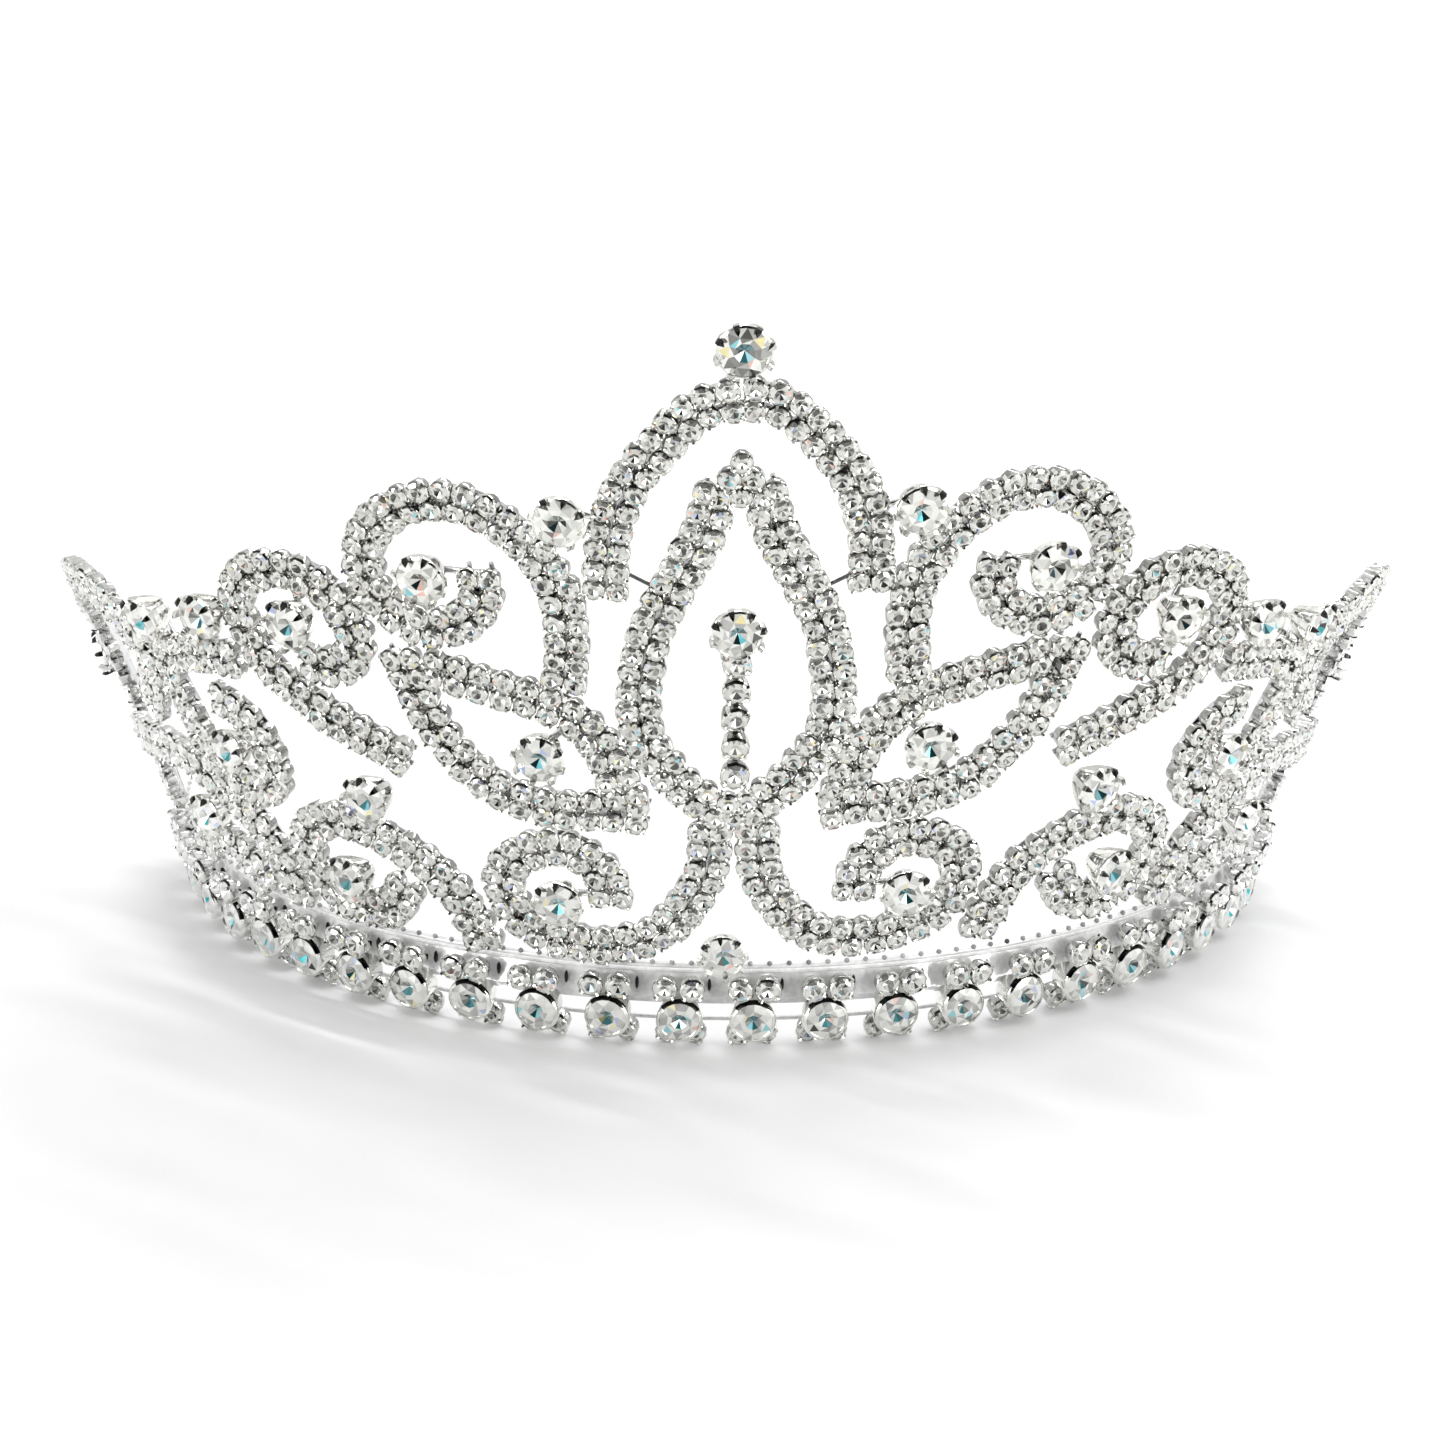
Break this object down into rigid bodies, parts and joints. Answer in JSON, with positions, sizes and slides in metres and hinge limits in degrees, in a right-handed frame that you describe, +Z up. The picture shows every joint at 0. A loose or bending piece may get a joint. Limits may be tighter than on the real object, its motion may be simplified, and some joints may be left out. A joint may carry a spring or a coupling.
{
  "type": "bridal tiara",
  "caption": "Openwork half-round bridal tiara of crystal cup-chain scrolls under a pointed arch, with claw-set stones, on a beaded crystal band.",
  "frame": {"origin": "middle of the front of the foot, on the surface that the tiara stands on", "axes": "+Z up, -Y out of the front of the tiara, +X to the right as the front is looked at"},
  "size_m": [0.1552, 0.1074, 0.0867],
  "materials": {
    "silver_plate": "bright silver plating, soft at the edges of the cups",
    "crystal": "faceted clear crystal with a foil back"
  },
  "bodies": {
    "root": {"arch_left": "silver_plate", "arch_right": "silver_plate", "arm_left": "silver_plate", "arm_right": "silver_plate", "bar_stone": "crystal", "base_band": "silver_plate", "base_trim": "crystal", "centre_bar": "silver_plate", "end_loop_left": "silver_plate", "end_loop_right": "silver_plate", "gallery_stone": "crystal", "gallery_wire": "silver_plate", "large_loop_left": "silver_plate", "large_loop_right": "silver_plate", "large_loop_stone_left": "crystal", "large_loop_stone_right": "crystal", "leaf_left": "silver_plate", "leaf_right": "silver_plate", "low_arch_left": "silver_plate", "low_arch_right": "silver_plate", "low_arch_top_stone_left": "crystal", "low_arch_top_stone_right": "crystal", "low_scroll_left": "silver_plate", "low_scroll_right": "silver_plate", "low_scroll_stone_left": "crystal", "low_scroll_stone_right": "crystal", "low_scroll_top_stone_left": "crystal", "low_scroll_top_stone_right": "crystal", "lower_wire": "silver_plate", "scroll_left": "silver_plate", "scroll_right": "silver_plate", "scroll_stone_left": "crystal", "scroll_stone_right": "crystal", "shoulder_stone_left": "crystal", "shoulder_stone_right": "crystal", "side_leaf_lower_left": "silver_plate", "side_leaf_lower_right": "silver_plate", "side_leaf_stone_left": "crystal", "side_leaf_stone_right": "crystal", "side_leaf_upper_left": "silver_plate", "side_leaf_upper_right": "silver_plate", "small_loop_left": "silver_plate", "small_loop_right": "silver_plate", "small_loop_stone_left": "crystal", "small_loop_stone_right": "crystal", "teardrop_left": "silver_plate", "teardrop_right": "silver_plate", "teardrop_stone_left": "crystal", "teardrop_stone_right": "crystal", "top_stone": "crystal", "wing_joint_stone_left": "crystal", "wing_joint_stone_right": "crystal", "wing_left": "silver_plate", "wing_right": "silver_plate", "wing_scroll_left": "silver_plate", "wing_scroll_right": "silver_plate", "wing_scroll_stone_left": "crystal", "wing_scroll_stone_right": "crystal", "wing_tip_stone_left": "crystal", "wing_tip_stone_right": "crystal"}
  },
  "joints": []
}
